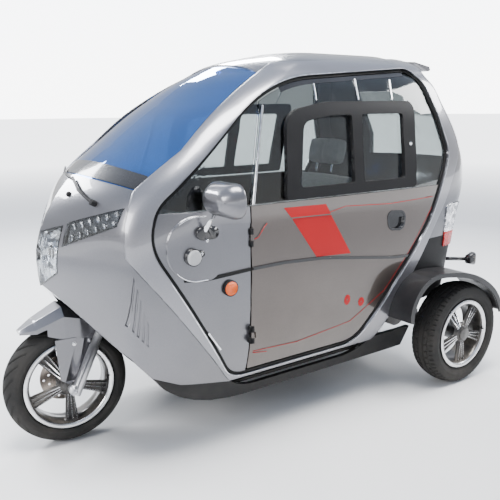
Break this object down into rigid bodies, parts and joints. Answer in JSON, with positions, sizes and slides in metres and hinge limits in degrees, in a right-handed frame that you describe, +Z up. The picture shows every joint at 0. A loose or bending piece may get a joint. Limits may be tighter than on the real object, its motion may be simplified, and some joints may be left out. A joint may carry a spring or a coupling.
{
  "type": "three wheeled car",
  "caption": "Enclosed three-wheeled electric cabin car with one steered front wheel, two rear wheels and side doors.",
  "frame": {"origin": "on the ground, midway between the front tyre tread and the tail, on the centre plane", "axes": "+Z up, the front of the vehicle looks along -Y, +X is the driver's left side"},
  "size_m": [1.4622, 2.3274, 1.55],
  "materials": {
    "battery_box": "plain",
    "brake_caliper": "cast",
    "brake_disc": "ground",
    "bulkhead": "grained",
    "chassis_frame": "black paint",
    "dashboard": "grained",
    "door_glass_left": "clear",
    "door_glass_right": "clear",
    "door_hinges": "black",
    "door_panel_left": "metallic paint, clear coat",
    "door_panel_right": "metallic paint, clear coat",
    "door_seals": "black rubber",
    "door_trim_left": "satin black",
    "door_trim_right": "satin black",
    "driver_seat_back": "woven cloth",
    "driver_seat_cushion": "woven cloth",
    "floor_pan": "ribbed rubber over steel",
    "fork": "polished",
    "front_fender": "metallic paint, clear coat",
    "front_rim": "black with machined lines",
    "front_tyre": "moulded rubber",
    "handlebar": "black",
    "headlamp": "clear lens over chrome reflectors",
    "headlamp_reflectors": "mirror metallised",
    "hood": "metallic paint, clear coat",
    "led_strips": "clear lens over round reflectors",
    "mirrors": "metallic paint, clear coat",
    "nose_panel": "metallic paint, clear coat",
    "quarter_glasses": "clear",
    "quarter_panels": "metallic paint, clear coat",
    "rear_axle_and_motor": "black paint",
    "rear_bench": "woven cloth",
    "rear_fenders": "satin black",
    "rear_rim_left": "black with machined lines",
    "rear_rim_right": "black with machined lines",
    "rear_springs": "black coil",
    "rear_tyre_left": "moulded rubber",
    "rear_tyre_right": "moulded rubber",
    "rear_window": "clear",
    "roof": "metallic paint, clear coat",
    "side_hoops": "metallic paint, clear coat",
    "side_reflectors": "amber",
    "sill_skirts": "grained black",
    "spoiler": "metallic paint, clear coat",
    "tail_box": "satin black",
    "tail_lamps": "clear and red lens",
    "tail_shell": "metallic paint, clear coat",
    "turn_lamps": "clear and black",
    "wheel_well": "black, lightly grained",
    "window_frame_left": "satin black",
    "window_frame_right": "satin black",
    "windscreen": "tinted clear",
    "wiper": "satin black"
  },
  "bodies": {
    "body": {"battery_box": "battery_box", "bulkhead": "bulkhead", "chassis_frame": "chassis_frame", "dashboard": "dashboard", "door_hinges": "door_hinges", "door_seals": "door_seals", "driver_seat_back": "driver_seat_back", "driver_seat_cushion": "driver_seat_cushion", "floor_pan": "floor_pan", "headlamp": "headlamp", "headlamp_reflectors": "headlamp_reflectors", "hood": "hood", "led_strips": "led_strips", "mirrors": "mirrors", "nose_panel": "nose_panel", "quarter_glasses": "quarter_glasses", "quarter_panels": "quarter_panels", "rear_axle_and_motor": "rear_axle_and_motor", "rear_bench": "rear_bench", "rear_fenders": "rear_fenders", "rear_springs": "rear_springs", "rear_window": "rear_window", "roof": "roof", "side_hoops": "side_hoops", "side_reflectors": "side_reflectors", "sill_skirts": "sill_skirts", "spoiler": "spoiler", "tail_box": "tail_box", "tail_lamps": "tail_lamps", "tail_shell": "tail_shell", "turn_lamps": "turn_lamps", "wheel_well": "wheel_well", "windscreen": "windscreen", "wiper": "wiper"},
    "steering": {"brake_caliper": "brake_caliper", "fork": "fork", "front_fender": "front_fender", "handlebar": "handlebar"},
    "front_wheel": {"brake_disc": "brake_disc", "front_rim": "front_rim", "front_tyre": "front_tyre"},
    "door_left": {"door_glass_left": "door_glass_left", "door_panel_left": "door_panel_left", "door_trim_left": "door_trim_left", "window_frame_left": "window_frame_left"},
    "door_right": {"door_glass_right": "door_glass_right", "door_panel_right": "door_panel_right", "door_trim_right": "door_trim_right", "window_frame_right": "window_frame_right"},
    "rear_wheel_left": {"rear_rim_left": "rear_rim_left", "rear_tyre_left": "rear_tyre_left"},
    "rear_wheel_right": {"rear_rim_right": "rear_rim_right", "rear_tyre_right": "rear_tyre_right"}
  },
  "joints": [
    {"name": "steering", "type": "hinge", "parent": "body", "child": "steering", "pos_m": [0, -0.89804, 0.23185], "axis": [0, 0.4384, 0.8988], "range_deg": [-30.5, 39.5]},
    {"name": "front_wheel_spin", "type": "hinge", "parent": "steering", "child": "front_wheel", "pos_m": [-0.00235, -0.92492, 0.24496], "axis": [0.9969, -0.0705, 0.0344], "continuous": true},
    {"name": "rear_wheel_left_spin", "type": "hinge", "parent": "body", "child": "rear_wheel_left", "pos_m": [0.541, 0.815, 0.247], "axis": [1, 0, 0], "continuous": true},
    {"name": "rear_wheel_right_spin", "type": "hinge", "parent": "body", "child": "rear_wheel_right", "pos_m": [-0.541, 0.815, 0.247], "axis": [1, 0, 0], "continuous": true},
    {"name": "door_left_hinge", "type": "hinge", "parent": "body", "child": "door_left", "pos_m": [0.508, -0.3585, 0.8], "axis": [0, 0, 1], "range_deg": [-68, 0]},
    {"name": "door_right_hinge", "type": "hinge", "parent": "body", "child": "door_right", "pos_m": [-0.508, -0.3585, 0.8], "axis": [0, 0, 1], "range_deg": [0, 68]}
  ]
}
